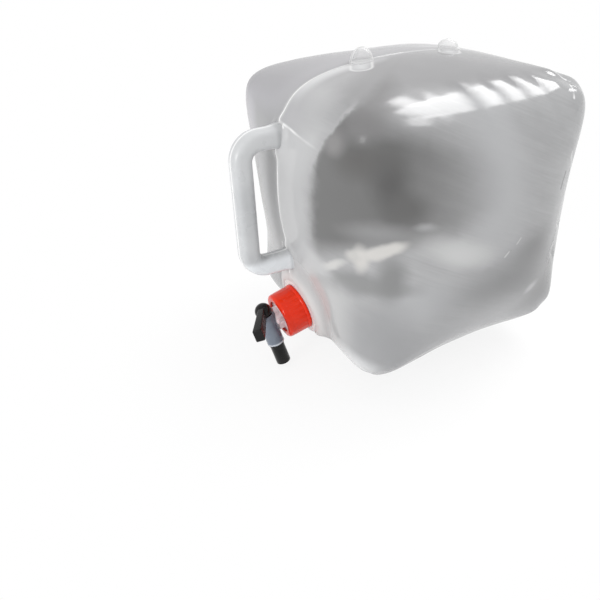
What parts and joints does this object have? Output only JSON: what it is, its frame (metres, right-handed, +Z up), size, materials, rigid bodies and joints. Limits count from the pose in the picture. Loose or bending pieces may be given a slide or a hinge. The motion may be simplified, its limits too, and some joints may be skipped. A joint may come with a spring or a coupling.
{
  "type": "collapsible water carrier",
  "caption": "Soft cube-shaped water bag with a loop handle, a threaded neck, a screw ring and a plug tap with a side lever and a spout that aims down.",
  "frame": {"origin": "middle of the flat patch that the carrier stands on", "axes": "X across the front, -Y out of the front with the handle and the tap, +Z up"},
  "size_m": [0.2828, 0.3231, 0.2829],
  "materials": {
    "natural_film": "glossy frosted polyethylene film, translucent",
    "natural_handle": "frosted polyethylene, translucent, thicker than the bag",
    "natural_neck": "frosted polyethylene, translucent",
    "ring_red": "red injection-moulded plastic, satin",
    "foam": "closed-cell foam gasket",
    "natural_tap": "natural injection-moulded plastic, translucent",
    "tap_black": "black injection-moulded plastic, satin"
  },
  "bodies": {
    "carrier": {"body_shell": "natural_film"},
    "handle": {"carry_handle": "natural_handle"},
    "neck": {"neck": "natural_neck"},
    "seal": {"cap_gasket": "foam"},
    "cap": {"cap_ring": "ring_red"},
    "tap": {"tap_body": "natural_tap"},
    "core": {"tap_core": "tap_black"}
  },
  "joints": [
    {"name": "collapse", "type": "slide", "parent": "carrier", "child": "handle", "axis": [0, 1, 0], "range_m": [0, 0.212], "deforming": ["body_shell"]},
    {"name": "collapse_neck", "type": "slide", "parent": "carrier", "child": "neck", "axis": [0, 1, 0], "range_m": [0, 0.203], "deforming": ["body_shell"]},
    {"name": "cap_travel", "type": "slide", "parent": "neck", "child": "seal", "axis": [0, -0.9732, -0.23], "range_m": [0, 0.006]},
    {"name": "cap_turn", "type": "hinge", "parent": "seal", "child": "cap", "pos_m": [0, -0.11753, 0.0555], "axis": [0, -0.9732, -0.23], "range_deg": [0, 539]},
    {"name": "tap_swivel", "type": "hinge", "parent": "seal", "child": "tap", "pos_m": [0, -0.11753, 0.0555], "axis": [0, -0.9732, -0.23], "range_deg": [-60, 60]},
    {"name": "tap_lever", "type": "hinge", "parent": "tap", "child": "core", "pos_m": [0, -0.15188, 0.04738], "axis": [0.1564, 0.2272, -0.9612], "range_deg": [-28.3, 61.7]}
  ],
  "couplings": [
    {"joint": "collapse_neck", "follows": "collapse", "ratio": 0.9566},
    {"joint": "cap_travel", "follows": "cap_turn", "m_per_rad": 0.00063662}
  ]
}
